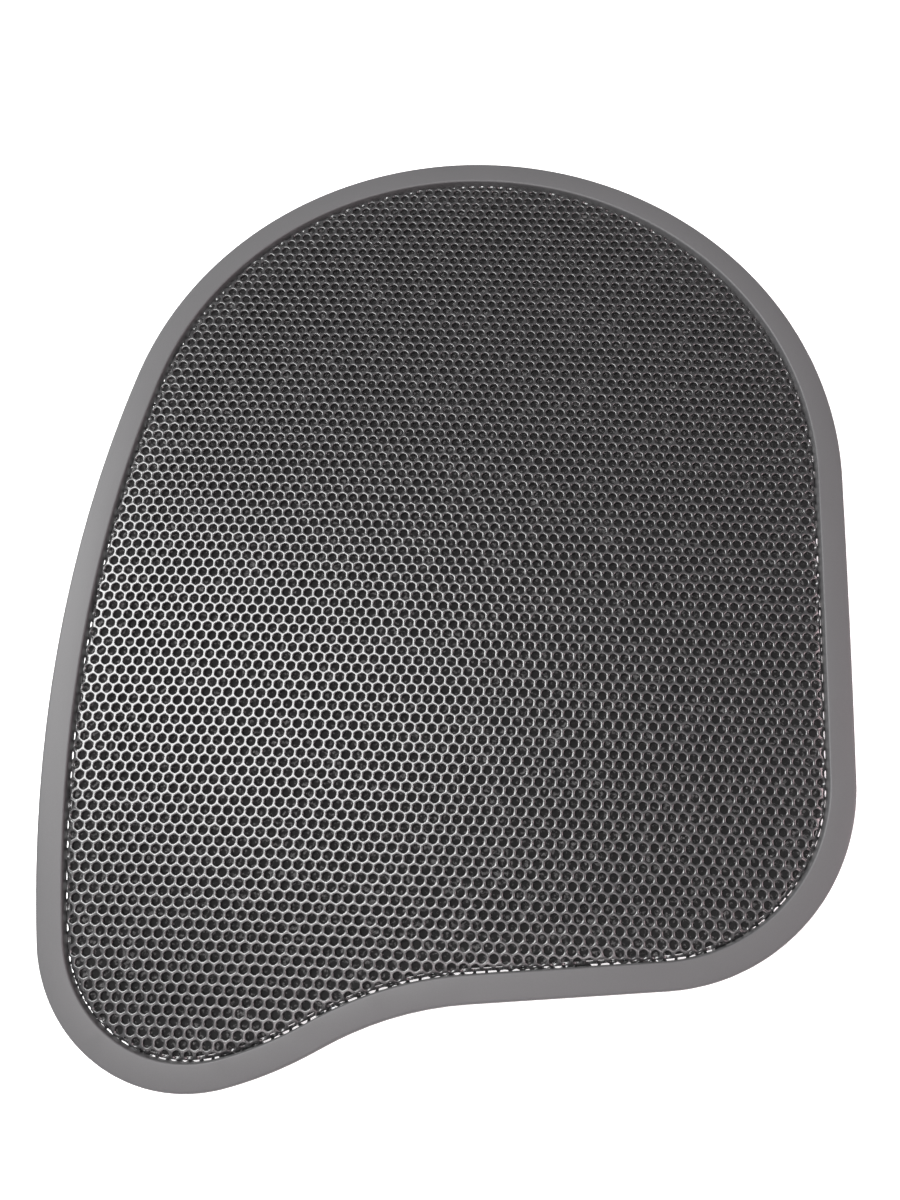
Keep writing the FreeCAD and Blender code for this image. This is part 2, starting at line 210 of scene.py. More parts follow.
def crown_height(xy, depth=0.0):
    """Height of the crowned surface at a depth."""
    across, along = (xy - np.array(CROWN_AT)).T
    radius = CROWN_R_LONG - depth
    sweep = CROWN_R_WIDE - depth - (radius - np.sqrt(radius ** 2 - along ** 2))
    return CROWN_TOP - CROWN_R_WIDE + np.sqrt(sweep ** 2 - across ** 2)


def place_on_outline(distance):
    """Point of the outer edge some way clockwise from its start, and the outward direction there."""
    pieces = []
    for index, (centre, radius, first, last) in enumerate(ARCS):
        after = ARCS[(index + 1) % len(ARCS)]
        start, end = centre + unit(last) * radius, after[0] + unit(after[2]) * after[1]
        pieces.append((abs(radius * (last - first)), lambda t, c=centre, r=radius, a=first, b=last:
                       (c + unit(a + (b - a) * t) * r, unit(a + (b - a) * t))))
        pieces.append((math.hypot(*(end - start)), lambda t, p=start, q=end, a=last:
                       (p + (q - p) * t, unit(a))))
    distance %= sum(length for length, _ in pieces)
    for length, curve in pieces:
        if distance <= length:
            return curve(distance / length)
        distance -= length


def places(share):
    """The six places at one share of the way from each tower to the next."""
    around = sum(math.hypot(*step) for step in np.diff(np.vstack([LOOP, LOOP[:1]]), axis=0))
    return [place_on_outline(FIRST_TOWER + around / TOWER_COUNT * (bay + share))
            for bay in range(TOWER_COUNT)]


TOWERS, LANDS = places(0), places(LAND_PLACE)
PINS = [places(PIN_PLACE)[bay] for bay in PIN_BAYS]
RETAINERS = [place for pair in zip(*(places(share) for share in RETAINER_PLACES)) for place in pair]


# ---- mesh helpers --------------------------------------------------------------------------------------
def new_object(name, mesh, material=None):
    piece = bpy.data.objects.new(name, mesh)
    scene.collection.objects.link(piece)
    if material:
        mesh.materials.clear()
        mesh.materials.append(material)
    return piece


def mesh_of(name, vertices, faces):
    mesh = bpy.data.meshes.new(name)
    mesh.from_pydata([tuple(v) for v in vertices], [], faces)
    mesh.update()
    return mesh


def mesh_from(work, name):
    """The bmesh's shape as a new mesh, with outward normals."""
    bmesh.ops.recalc_face_normals(work, faces=work.faces)
    mesh = bpy.data.meshes.new(name)
    work.to_mesh(mesh)
    work.free()
    return mesh


def coordinates(mesh):
    flat = np.empty(len(mesh.vertices) * 3)
    mesh.vertices.foreach_get("co", flat)
    return flat.reshape(-1, 3)


def set_coordinates(mesh, points):
    mesh.vertices.foreach_set("co", np.asarray(points, float).ravel())
    mesh.update()


def round_edges(piece, width, degrees):
    """Adds a bevel on the edges that turn by more than the angle."""
    rounding = piece.modifiers.new("rounding", "BEVEL")
    rounding.width = width
    rounding.segments = 2
    rounding.limit_method = "ANGLE"
    rounding.angle_limit = math.radians(degrees)


def plain_mesh(piece):
    """The piece's evaluated shape as its own mesh, with its modifiers removed."""
    graph = bpy.context.evaluated_depsgraph_get()
    mesh = bpy.data.meshes.new_from_object(piece.evaluated_get(graph))
    piece.modifiers.clear()
    piece.data = mesh
    return mesh


def smooth_by_angle(mesh, degrees):
    work = bmesh.new()
    work.from_mesh(mesh)
    limit = math.radians(degrees)
    for face in work.faces:
        face.smooth = True
    for edge in work.edges:
        edge.smooth = len(edge.link_faces) == 2 and edge.calc_face_angle(0) < limit
    work.to_mesh(mesh)
    work.free()


def welded_copy(node, name, degrees=35):
    """A copy of a CAD node with its triangles joined, so that it can be shaded smoothly."""
    work = bmesh.new()
    work.from_mesh(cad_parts[node].data)
    bmesh.ops.remove_doubles(work, verts=work.verts, dist=0.002 * MM)
    mesh = bpy.data.meshes.new(name)
    work.to_mesh(mesh)
    work.free()
    smooth_by_angle(mesh, degrees)
    return mesh


def prism(name, inset, low, high, step=0.7 * MM):
    """The outline, moved inwards by inset, as a closed upright block."""
    points, normals = outline_loop(ARCS, step)
    points = points - normals * inset
    points = points[::-1]
    count = len(points)
    vertices = [(x, y, low) for x, y in points] + [(x, y, high) for x, y in points]
    sides = [(i, (i + 1) % count, count + (i + 1) % count, count + i) for i in range(count)]
    caps = [tuple(range(count))[::-1], tuple(range(count, 2 * count))]
    return mesh_of(name, vertices, sides + caps)


def boolean(piece, cutter_mesh, operation):
    cutter = new_object("cutter", cutter_mesh)
    modifier = piece.modifiers.new("cut", "BOOLEAN")
    modifier.operation = operation
    modifier.solver = "MANIFOLD"
    modifier.object = cutter
    plain_mesh(piece)
    bpy.data.objects.remove(cutter)


# ---- materials -----------------------------------------------------------------------------------------
def principled(name, colour, roughness, metallic=0.0):
    material = bpy.data.materials.new(name)
    material.use_nodes = True
    shader = material.node_tree.nodes["Principled BSDF"]
    shader.inputs["Base Color"].default_value = (*colour, 1)
    shader.inputs["Roughness"].default_value = roughness
    shader.inputs["Metallic"].default_value = metallic
    return material, shader


def grain_group():
    """Fine noise on Object coordinates: a height for bump, and a shaded colour and roughness."""
    group = bpy.data.node_groups.new("Surface grain", "ShaderNodeTree")
    for name, kind, value in (
            ("Base", "NodeSocketColor", None), ("Roughness", "NodeSocketFloat", 0.5),
            ("Scale", "NodeSocketFloat", 2000.0), ("Colour Spread", "NodeSocketFloat", 0.05),
            ("Roughness Spread", "NodeSocketFloat", 0.05), ("Cloud Scale", "NodeSocketFloat", 40.0),
            ("Cloud Spread", "NodeSocketFloat", 0.05)):
        socket = group.interface.new_socket(name, in_out="INPUT", socket_type=kind)
        if value is not None:
            socket.default_value = value
    for name, kind in (("Color", "NodeSocketColor"), ("Roughness", "NodeSocketFloat"),
                       ("Height", "NodeSocketFloat")):
        group.interface.new_socket(name, in_out="OUTPUT", socket_type=kind)
    nodes, links = group.nodes, group.links
    given, out = nodes.new("NodeGroupInput"), nodes.new("NodeGroupOutput")
    place = nodes.new("ShaderNodeTexCoord")
    fine, cloud = nodes.new("ShaderNodeTexNoise"), nodes.new("ShaderNodeTexNoise")
    fine.inputs["Detail"].default_value = 3
    cloud.inputs["Detail"].default_value = 5
    links.new(place.outputs["Object"], fine.inputs["Vector"])
    links.new(place.outputs["Object"], cloud.inputs["Vector"])
    links.new(given.outputs["Scale"], fine.inputs["Scale"])
    links.new(given.outputs["Cloud Scale"], cloud.inputs["Scale"])

    def math_node(operation, first, second, third=None):
        node = nodes.new("ShaderNodeMath")
        node.operation = operation
        for socket, value in zip(node.inputs, (first, second, third)):
            if value is None:
                continue
            if isinstance(value, (int, float)):
                socket.default_value = value
            else:
                links.new(value, socket)
        return node.outputs[0]

    fine_off = math_node("SUBTRACT", fine.outputs["Fac"], 0.5)
    cloud_off = math_node("SUBTRACT", cloud.outputs["Fac"], 0.5)
    shade = math_node("MULTIPLY_ADD", fine_off, given.outputs["Colour Spread"],
                      math_node("MULTIPLY_ADD", cloud_off, given.outputs["Cloud Spread"], 1.0))
    tint = nodes.new("ShaderNodeVectorMath")
    tint.operation = "SCALE"
    links.new(given.outputs["Base"], tint.inputs[0])
    links.new(shade, tint.inputs["Scale"])
    links.new(tint.outputs[0], out.inputs["Color"])
    rough = math_node("MULTIPLY_ADD", fine_off, given.outputs["Roughness Spread"], given.outputs["Roughness"])
    links.new(rough, out.inputs["Roughness"])
    links.new(fine.outputs["Fac"], out.inputs["Height"])
    return group


GRAIN = grain_group()


def grained(name, colour, roughness, metallic=0.0, bump=0.01 * MM, **values):
    """A material whose colour, roughness and bump come from the grain group."""
    material, shader = principled(name, colour, roughness, metallic)
    nodes, links = material.node_tree.nodes, material.node_tree.links
    grain = nodes.new("ShaderNodeGroup")
    grain.node_tree = GRAIN
    grain.inputs["Base"].default_value = (*colour, 1)
    grain.inputs["Roughness"].default_value = roughness
    for key, value in values.items():
        grain.inputs[key.replace("_", " ")].default_value = value
    relief = nodes.new("ShaderNodeBump")
    relief.inputs["Distance"].default_value = bump
    links.new(grain.outputs["Color"], shader.inputs["Base Color"])
    links.new(grain.outputs["Roughness"], shader.inputs["Roughness"])
    links.new(grain.outputs["Height"], relief.inputs["Height"])
    links.new(relief.outputs["Normal"], shader.inputs["Normal"])
    return material


TUFT_RANGE, THREAD_RANGE = (0.53, 0.68), (0.35, 0.65)    # noise at which tufts and threads start and are full


def lint_group():
    """Loose lighter tufts on a dark cloth: a mask, and a height that stands up where the tufts are."""
    group = bpy.data.node_groups.new("Loose lint", "ShaderNodeTree")
    for name, value in (("Scale", 900.0), ("Amount", 0.4), ("Weave Scale", 5000.0)):
        group.interface.new_socket(name, in_out="INPUT", socket_type="NodeSocketFloat").default_value = value
    for name in ("Mask", "Height"):
        group.interface.new_socket(name, in_out="OUTPUT", socket_type="NodeSocketFloat")
    nodes, links = group.nodes, group.links
    given, out = nodes.new("NodeGroupInput"), nodes.new("NodeGroupOutput")
    place = nodes.new("ShaderNodeTexCoord")
    tufts, threads = nodes.new("ShaderNodeTexNoise"), nodes.new("ShaderNodeTexNoise")
    tufts.inputs["Detail"].default_value = 4
    threads.inputs["Detail"].default_value = 2
    threads.inputs["Distortion"].default_value = 2.5
    for noise, scale in ((tufts, "Scale"), (threads, "Weave Scale")):
        links.new(place.outputs["Object"], noise.inputs["Vector"])
        links.new(given.outputs[scale], noise.inputs["Scale"])
    edge = nodes.new("ShaderNodeMapRange")
    edge.interpolation_type = "SMOOTHSTEP"
    edge.inputs["From Min"].default_value, edge.inputs["From Max"].default_value = TUFT_RANGE
    links.new(tufts.outputs["Fac"], edge.inputs["Value"])
    fine = nodes.new("ShaderNodeMapRange")
    fine.inputs["From Min"].default_value, fine.inputs["From Max"].default_value = THREAD_RANGE
    links.new(threads.outputs["Fac"], fine.inputs["Value"])
    both, share, stack = (nodes.new("ShaderNodeMath") for _ in range(3))
    both.operation, share.operation, stack.operation = "MULTIPLY", "MULTIPLY", "ADD"
    links.new(edge.outputs[0], both.inputs[0])
    links.new(fine.outputs[0], both.inputs[1])
    links.new(both.outputs[0], share.inputs[0])
    links.new(given.outputs["Amount"], share.inputs[1])
    links.new(share.outputs[0], out.inputs["Mask"])
    links.new(both.outputs[0], stack.inputs[0])
    links.new(fine.outputs[0], stack.inputs[1])
    links.new(stack.outputs[0], out.inputs["Height"])
    return group


LINT = lint_group()
FIBRE_ROUGHNESS = 0.92


def linted(name, colour, tuft_colour, bump, amount, scale, **values):
    """A dark fibrous material: the grain group's shading with the lint group's tufts over it."""
    material = grained(name, colour, FIBRE_ROUGHNESS, bump=bump, **values)
    nodes, links = material.node_tree.nodes, material.node_tree.links
    shader = nodes["Principled BSDF"]
    grain = shader.inputs["Base Color"].links[0].from_node
    relief = shader.inputs["Normal"].links[0].from_node
    lint, mix = nodes.new("ShaderNodeGroup"), nodes.new("ShaderNodeMix")
    lint.node_tree = LINT
    lint.inputs["Amount"].default_value = amount
    lint.inputs["Scale"].default_value = scale
    mix.data_type = "RGBA"
    share, first, second, result = mix.inputs[0], mix.inputs[6], mix.inputs[7], mix.outputs[2]
    links.new(lint.outputs["Mask"], share)
    links.new(grain.outputs["Color"], first)
    second.default_value = (*tuft_colour, 1)
    links.new(result, shader.inputs["Base Color"])
    links.new(lint.outputs["Height"], relief.inputs["Height"])
    return material


def tune(material, **values):
    """Sets constants on the material's own shader."""
    for key, value in values.items():
        material.node_tree.nodes["Principled BSDF"].inputs[key.replace("_", " ")].default_value = value


BEZEL = grained("moulded bezel plastic", (0.083, 0.083, 0.085), 0.46, bump=0.015 * MM, Scale=4200.0,
                Colour_Spread=0.2, Roughness_Spread=0.12, Cloud_Scale=30.0, Cloud_Spread=0.12)
tune(BEZEL, Specular_IOR_Level=0.28)
COATING = grained("black mesh coating", (0.031, 0.031, 0.032), 0.3, bump=0.006 * MM, Scale=6000.0,
                  Colour_Spread=0.4, Roughness_Spread=0.15, Cloud_Scale=60.0, Cloud_Spread=0.2)
tune(COATING, Coat_Weight=1.0, Coat_Roughness=0.14)
SCRIM_LOOK = dict(colour=(0.0045, 0.0045, 0.0047), tuft_colour=(0.34, 0.34, 0.34), bump=0.15 * MM, amount=1.0,
                  scale=1000.0, Scale=2600.0, Colour_Spread=1.6, Cloud_Scale=300.0, Cloud_Spread=0.5)
CLOTH = linted("black scrim", **SCRIM_LOOK)
LINT_FIBRE = grained("loose pale fibres", (0.16, 0.16, 0.155), 0.7, Scale=900.0, Colour_Spread=1.2,
                     Cloud_Scale=300.0, Cloud_Spread=0.6)
BOND = linted("clear bond film on scrim", **SCRIM_LOOK)
ZINC = grained("zinc plate", (0.55, 0.55, 0.56), 0.32, 1.0, Scale=1500.0, Colour_Spread=0.2,
               Roughness_Spread=0.25, Cloud_Scale=200.0, Cloud_Spread=0.25)
PHOSPHATE = grained("phosphated spring steel", (0.2, 0.2, 0.205), 0.42, 1.0, Scale=2500.0,
                    Colour_Spread=0.35, Roughness_Spread=0.25, Cloud_Scale=150.0, Cloud_Spread=0.35)
FELT = linted("needled felt", (0.022, 0.022, 0.023), (0.09, 0.09, 0.09), 0.2 * MM, 0.6, 1400.0,
              Scale=3000.0, Colour_Spread=1.2, Cloud_Scale=300.0, Cloud_Spread=0.4)


# ---- perforated mesh -----------------------------------------------------------------------------------
class Fields:
    """Short ways to add nodes to a geometry tree."""

    def __init__(self, name, **inputs):
        self.tree = bpy.data.node_groups.new(name, "GeometryNodeTree")
        kinds = {float: "NodeSocketFloat", int: "NodeSocketInt", "material": "NodeSocketMaterial",
                 "object": "NodeSocketObject"}
        interface = self.tree.interface
        interface.new_socket("Geometry", in_out="INPUT", socket_type="NodeSocketGeometry")
        for label, kind in inputs.items():
            interface.new_socket(label.replace("_", " "), in_out="INPUT", socket_type=kinds[kind])
        interface.new_socket("Geometry", in_out="OUTPUT", socket_type="NodeSocketGeometry")
        self.given = self.node("NodeGroupInput").outputs
        self.end = self.node("NodeGroupOutput").inputs[0]

    def node(self, kind, **inputs):
        item = self.tree.nodes.new(kind)
        for label, value in inputs.items():
            self.set(item.inputs[label.replace("_", " ")], value)
        return item

    def set(self, socket, value):
        if isinstance(value, bpy.types.NodeSocket):
            self.tree.links.new(value, socket)
        else:
            socket.default_value = value

    def maths(self, operation, *values):
        item = self.tree.nodes.new("ShaderNodeMath")
        item.operation = operation
        for socket, value in zip(item.inputs, values):
            self.set(socket, value)
        return item.outputs[0]

    def finish(self, geometry):
        """Realizes the instances and gives them the material."""
        real = self.node("GeometryNodeRealizeInstances", Geometry=geometry)
        paint = self.node("GeometryNodeSetMaterial", Geometry=real.outputs[0], Material=self.given["Material"])
        self.set(self.end, paint.outputs[0])
        return self.tree


def perforation_tree():
    """Puts a hexagonal cell of sheet, with its hole, on every point, and joins the cells."""
    f = Fields("Hexagonal perforation", Pitch=float, Rim_Width=float, Shoulder_Width=float,
               Hole_Width=float, Shoulder_Drop=float, Wall_Drop=float, Thickness=float, Corner_Spread=float,
               Weld=float, Material="material")
    given = f.given
    circle = f.node("GeometryNodeMeshCircle", Vertices=12, Radius=1.0)
    index = f.node("GeometryNodeInputIndex").outputs[0]
    pair = f.maths("FLOOR", f.maths("MULTIPLY", f.maths("ADD", index, 1.0), 0.5))
    corner = f.maths("MULTIPLY_ADD", pair, math.pi / 3, math.pi / 6)
    side = f.maths("MULTIPLY_ADD", f.maths("MODULO", index, 2.0), -2.0, 1.0)
    shape = circle.outputs["Mesh"]
    kept = {}
    for label, value in (("corner", corner), ("side", side)):
        store = f.node("GeometryNodeStoreNamedAttribute", Geometry=shape, Name=label, Value=value)
        shape = store.outputs[0]
        kept[label] = f.node("GeometryNodeInputNamedAttribute", Name=label).outputs["Attribute"]

    def ring_place(width, spread, drop):
        reach = f.maths("SUBTRACT", math.pi / 6, spread)
        radius = f.maths("DIVIDE", f.maths("MULTIPLY", width, 0.5), f.maths("COSINE", reach))
        angle = f.maths("MULTIPLY_ADD", kept["side"], spread, kept["corner"])
        place = f.node("ShaderNodeCombineXYZ", X=f.maths("MULTIPLY", radius, f.maths("COSINE", angle)),
                       Y=f.maths("MULTIPLY", radius, f.maths("SINE", angle)),
                       Z=f.maths("MULTIPLY", drop, -1.0))
        return place.outputs[0]

    spread = given["Corner Spread"]
    rings = [(given["Pitch"], 0.0, 0.0), (given["Rim Width"], spread, 0.0),
             (given["Shoulder Width"], spread, given["Shoulder Drop"]),
             (given["Hole Width"], spread, given["Wall Drop"]),
             (given["Hole Width"], spread, given["Thickness"]), (given["Pitch"], 0.0, given["Thickness"])]
    shape = f.node("GeometryNodeSetPosition", Geometry=shape, Position=ring_place(*rings[0])).outputs[0]
    chosen = None
    for ring in rings[1:]:
        extrude = f.node("GeometryNodeExtrudeMesh", Mesh=shape, Offset_Scale=0.0)
        extrude.mode = "EDGES"
        if chosen:
            f.set(extrude.inputs["Selection"], chosen)
        chosen = extrude.outputs["Top"]
        shape = f.node("GeometryNodeSetPosition", Geometry=extrude.outputs["Mesh"], Selection=chosen,
                       Position=ring_place(*ring)).outputs[0]
    instance = f.node("GeometryNodeInstanceOnPoints", Points=given["Geometry"], Instance=shape)
    real = f.node("GeometryNodeRealizeInstances", Geometry=instance.outputs[0])
    weld = f.node("GeometryNodeMergeByDistance", Geometry=real.outputs[0], Distance=given["Weld"])
    return f.finish(weld.outputs[0])


def add_tree(piece, tree, **values):
    """Adds the tree as a modifier and sets its named inputs."""
    modifier = piece.modifiers.new(tree.name, "NODES")
    modifier.node_group = tree
    sockets = {item.name: item.identifier for item in tree.interface.items_tree if item.in_out == "INPUT"}
    for name, value in values.items():
        modifier[sockets[name.replace("_", " ")]] = value


def hole_centres():
    """Centres of the hexagonal holes over the flat sheet, in rows along X."""
    reach = max(cad_high.x, cad_high.y, -cad_low.x, -cad_low.y) * 1.3
    row_gap = PITCH * math.sqrt(3) / 2
    rows, columns = round(reach / row_gap), round(reach / PITCH)
    row, column = np.mgrid[-rows:rows + 1, -columns:columns + 1]
    x = FIRST_HOLE[0] + (column + (row % 2) / 2) * PITCH
    y = FIRST_HOLE[1] + row * row_gap
    points = np.stack([x.ravel(), y.ravel()], axis=1)
    return points[inset_field(points)[0] > -PITCH]


FORM_START = FACE_WIDTH + LIP_GAP + ROLL_R       # inset where the face starts to roll down
MID_ROLL = ROLL_R - SHEET / 2
BEND_R = 0.7 * MM                                # the flange's bend, at the middle of the sheet
MID_DEPTH = MESH_DROP + SHEET / 2
WALL_LENGTH = FLANGE_TOP + SHEET / 2 - BEND_R - MID_DEPTH - MID_ROLL
RIM_MATCH = 0.02 * MM                            # how close the upper and lower border edges lie in plan
CUT_HALF = 0.05                                  # half the height of the upright cutting blocks
NOTCH_POINTS, NOTCH_ROUNDS = 9, 5                # points along a notch, and steps to its inset
WEB_ANGLE, WEB_WEIGHT = 62, 80                   # sharpest smooth turn, and how much the flat webs lead


def formed(points):
    """Rolls the flat sheet's edge down, and out into the flange, and lays it on the crown."""
    flat, thick = points[:, :2], points[:, 2] + SHEET / 2
    inset, outward = inset_field(flat)
    run = FORM_START - inset
    roll_end = MID_ROLL * math.pi / 2
    wall_end = roll_end + WALL_LENGTH
    bend_end = wall_end + BEND_R * math.pi / 2
    roll = np.clip(run, 0, roll_end) / MID_ROLL
    wall = np.clip(run - roll_end, 0, WALL_LENGTH)
    bend = np.clip(run - wall_end, 0, bend_end - wall_end) / BEND_R
    flange = np.maximum(run - bend_end, 0)
    outer = np.minimum(run, 0) + MID_ROLL * np.sin(roll) + BEND_R * (1 - np.cos(bend)) + flange
    depth = MID_DEPTH + MID_ROLL * (1 - np.cos(roll)) + wall + BEND_R * np.sin(bend)
    tilt = roll - bend
    outer = outer + thick * np.sin(tilt)
    depth = depth - thick * np.cos(tilt)
    placed = flat + outward * (outer - run)[:, None]
    return np.column_stack([placed, crown_height(placed) - depth])


def close_border(mesh):
    """Joins the upper and lower border of a flat sheet of cells with upright faces."""
    work = bmesh.new()
    work.from_mesh(mesh)
    rims = {}
    for edge in work.edges:
        if len(edge.link_faces) == 1:
            middle = (edge.verts[0].co + edge.verts[1].co) / 2
            rims.setdefault((round(middle.x / RIM_MATCH), round(middle.y / RIM_MATCH)), []).append(edge)
    for first, second in (pair for pair in rims.values() if len(pair) == 2):
        a, b = first.verts
        c, d = sorted(second.verts, key=lambda v: (v.co.xy - b.co.xy).length)
        work.faces.new((a, b, c, d))
    bmesh.ops.recalc_face_normals(work, faces=work.faces)
    work.to_mesh(mesh)
    work.free()


def notch_corners(edge, outward, length, reach):
    """Corners of a notch whose inner side keeps to one inset, as rows."""
    along = np.array([-outward[1], outward[0]])
    side = np.linspace(-1, 1, NOTCH_POINTS)[:, None] * (length / 2 + NOTCH_CLEARANCE) * along
    depth = np.full((len(side), 1), reach + NOTCH_CLEARANCE)
    for _ in range(NOTCH_ROUNDS):
        inset = inset_field(edge + side - outward * depth)[0]
        depth += reach + NOTCH_CLEARANCE - inset.reshape(-1, 1)
    outer = edge + outward * MM + side[[-1, 0]]
    return np.vstack([edge + side - outward * depth, outer])


def rear_cuts():
    """Upright blocks and posts where the bezel's towers, lands, pins and studs pass the flange."""
    work = bmesh.new()
    notches = [(place, TOWER_LENGTH, FOOT_INNER) for place in TOWERS]
    notches += [(place, LAND_LENGTH, LAND_INNER) for place in LANDS]
    notches += [(place, PIN_FOOT_LENGTH, FOOT_INNER) for place in PINS]
    for (edge, outward), length, reach in notches:
        corners = notch_corners(edge, outward, length, reach)
        base = [work.verts.new((*corner, -CUT_HALF)) for corner in corners]
        block = bmesh.ops.extrude_face_region(work, geom=[work.faces.new(base)])
        top = [item for item in block["geom"] if isinstance(item, bmesh.types.BMVert)]
        bmesh.ops.translate(work, vec=(0, 0, 2 * CUT_HALF), verts=top)
    for edge, outward in RETAINERS:
        x, y = edge - outward * STUD_INSET
        bmesh.ops.create_cone(work, cap_ends=True, segments=24, radius1=STUD_HOLE_R, radius2=STUD_HOLE_R,
                              depth=2 * CUT_HALF, matrix=Matrix.Translation((x, y, 0)))
    return mesh_from(work, "rear cuts")


def flat_webs(piece):
    """Smooths the rounded edges of the holes and keeps the webs between them flat."""
    smooth_by_angle(piece.data, WEB_ANGLE)
    weigh = piece.modifiers.new("flat webs", "WEIGHTED_NORMAL")
    weigh.weight = WEB_WEIGHT
    weigh.keep_sharp = True
    return plain_mesh(piece)


def perforated_mesh():
    """The perforated and formed sheet, as bands of rows that meet edge to edge."""
    centres = hole_centres()
    centres = centres[np.argsort(centres[:, 1], kind="stable")]
    tree = perforation_tree()
    panels = []
    for number, chosen in enumerate(np.array_split(centres, PANEL_COUNT), 1):
        name = f"grille_mesh_band_{number}"
        piece = new_object(name, mesh_of(name, np.column_stack([chosen, np.zeros(len(chosen))]), []))
        add_tree(piece, tree, Pitch=PITCH, Rim_Width=RIM_WIDTH, Shoulder_Width=SHOULDER_WIDTH,
                 Hole_Width=HOLE_WIDTH, Shoulder_Drop=SHOULDER_DROP, Wall_Drop=WALL_DROP, Thickness=SHEET,
                 Corner_Spread=CORNER_SPREAD, Weld=0.01 * MM, Material=COATING)
        mesh = plain_mesh(piece)
        close_border(mesh)
        set_coordinates(mesh, formed(coordinates(mesh)))
        boolean(piece, prism("flange edge", FLANGE_END, -CUT_HALF, CUT_HALF), "INTERSECT")
        boolean(piece, rear_cuts(), "DIFFERENCE")
        mesh = flat_webs(piece)
        mesh.materials.clear()
        mesh.materials.append(COATING)
        panels.append(piece)
    return panels


# ---- pieces --------------------------------------------------------------------------------------------
def finish_piece(piece, slot, *nodes):
    """Puts the piece on the body, in place of the CAD nodes. The slot argument is not used."""
    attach(piece, "root")
    if nodes:
        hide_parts(*nodes)
    return piece


def softened_copy(node, name, width):
    """A copy of a CAD node with flat faces joined and its edges rounded, at its place."""
    mesh = welded_copy(node, name)
    work = bmesh.new()
    work.from_mesh(mesh)
    bmesh.ops.dissolve_limit(work, angle_limit=math.radians(2), verts=work.verts, edges=work.edges)
    work.to_mesh(mesh)
    work.free()
    piece = new_object(name, mesh)
    round_edges(piece, width, 40)
    smooth_by_angle(plain_mesh(piece), 40)
    return piece


def placing_tree():
    """Puts the part on every point, turned by the point's own turn about Z."""
    f = Fields("Fasteners in their places", Part="object", Material="material")
    part = f.node("GeometryNodeObjectInfo", Object=f.given["Part"])
    turn = f.node("GeometryNodeInputNamedAttribute", Name="turn")
    rotation = f.node("ShaderNodeCombineXYZ", Z=turn.outputs["Attribute"])
    instance = f.node("GeometryNodeInstanceOnPoints", Points=f.given["Geometry"],
                      Instance=part.outputs["Geometry"], Rotation=rotation.outputs[0])
    return f.finish(instance.outputs[0])


def placed(name, part, points, turns, material):
    """One plain mesh with a copy of the part at every point."""
    mesh = mesh_of(name, points, [])
    mesh.attributes.new("turn", "FLOAT", "POINT").data.foreach_set("value", turns)
    piece = new_object(name, mesh)
    add_tree(piece, PLACING, Part=part, Material=material)
    plain_mesh(piece)
    bpy.data.objects.remove(part)
    return piece


def rounded_path(points, radius, steps=6):
    """The path of straight runs with each corner made an arc."""
    points = [np.array(point, float) for point in points]
    path = [points[0]]
    for before, corner, after in zip(points, points[1:], points[2:]):
        back, on = before - corner, after - corner
        reach = min(math.hypot(*back), math.hypot(*on)) * 0.45
        back, on = back / math.hypot(*back), on / math.hypot(*on)
        half = math.acos(np.clip(back @ on, -1, 1)) / 2
        reach = min(reach, radius / math.tan(half))
        start, end = corner + back * reach, corner + on * reach
        for share in np.linspace(0, 1, steps + 1):
            path.append((1 - share) ** 2 * start + 2 * share * (1 - share) * corner + share ** 2 * end)
    return np.array(path + [points[-1]])


def bent_strip(work, path, thickness, width):
    """Adds a strip to the bmesh, bent along a path of (sideways, height) points."""
    way = np.gradient(path, axis=0)
    way /= np.hypot(*way.T)[:, None]
    side = np.column_stack([-way[:, 1], way[:, 0]]) * thickness / 2
    rings = []
    for middle, off in zip(path, side):
        corners = [(middle + off, -1), (middle + off, 1), (middle - off, 1), (middle - off, -1)]
        rings.append([work.verts.new((at[0], sign * width / 2, at[1])) for at, sign in corners])
    for first, second in zip(rings, rings[1:]):
        for i in range(4):
            work.faces.new((first[i], first[(i + 1) % 4], second[(i + 1) % 4], second[i]))
    work.faces.new(rings[0])
    work.faces.new(rings[-1][::-1])


def spring_clip():
    """U-shaped strip with two spring wings, whose tongues are cut out of the wings and bent inwards."""
    half = CLIP_SHEET / 2
    wing = [(CLIP_LEG, half), (CLIP_LEG, CLIP_FOOT), (CLIP_BULGE, CLIP_BULGE_AT), (CLIP_LEG, CLIP_WAIST_AT),
            (CLIP_LEG + CLIP_SHEET, CLIP_TOP_AT)]
    work = bmesh.new()
    path = rounded_path([(-x, z) for x, z in wing[::-1]] + wing, WING_BEND)
    bent_strip(work, path, CLIP_SHEET, CLIP_WIDTH)
    strip = new_object("clip", mesh_from(work, "clip"))
    work = bmesh.new()
    for sign in (1, -1):
        low, high = TONGUE_TIP_AT - 0.4 * MM, TONGUE_BEND_AT
        across = sign * (CLIP_BULGE + CLIP_LEG) / 2 + sign * CLIP_SHEET * 0.8
        middle = Matrix.Translation((across, 0, (low + high) / 2))
        size = Matrix.Diagonal((CLIP_BULGE - CLIP_LEG + 2 * half, LANCE_WIDTH, high - low, 1))
        bmesh.ops.create_cube(work, size=1, matrix=middle @ size)
    boolean(strip, mesh_from(work, "lances"), "DIFFERENCE")
    work = bmesh.new()
    work.from_mesh(strip.data)
    for sign in (1, -1):
        tongue = [(sign * CLIP_LEG, CLIP_WAIST_AT), (sign * CLIP_LEG, TONGUE_BEND_AT),
                  (sign * TONGUE_REACH, TONGUE_TIP_AT)]
        bent_strip(work, rounded_path(tongue, TONGUE_BEND), CLIP_SHEET * 0.98, TONGUE_WIDTH)
    strip.data = mesh_from(work, "clip")
    round_edges(strip, 0.09 * MM, 50)
    smooth_by_angle(plain_mesh(strip), 45)
    return strip


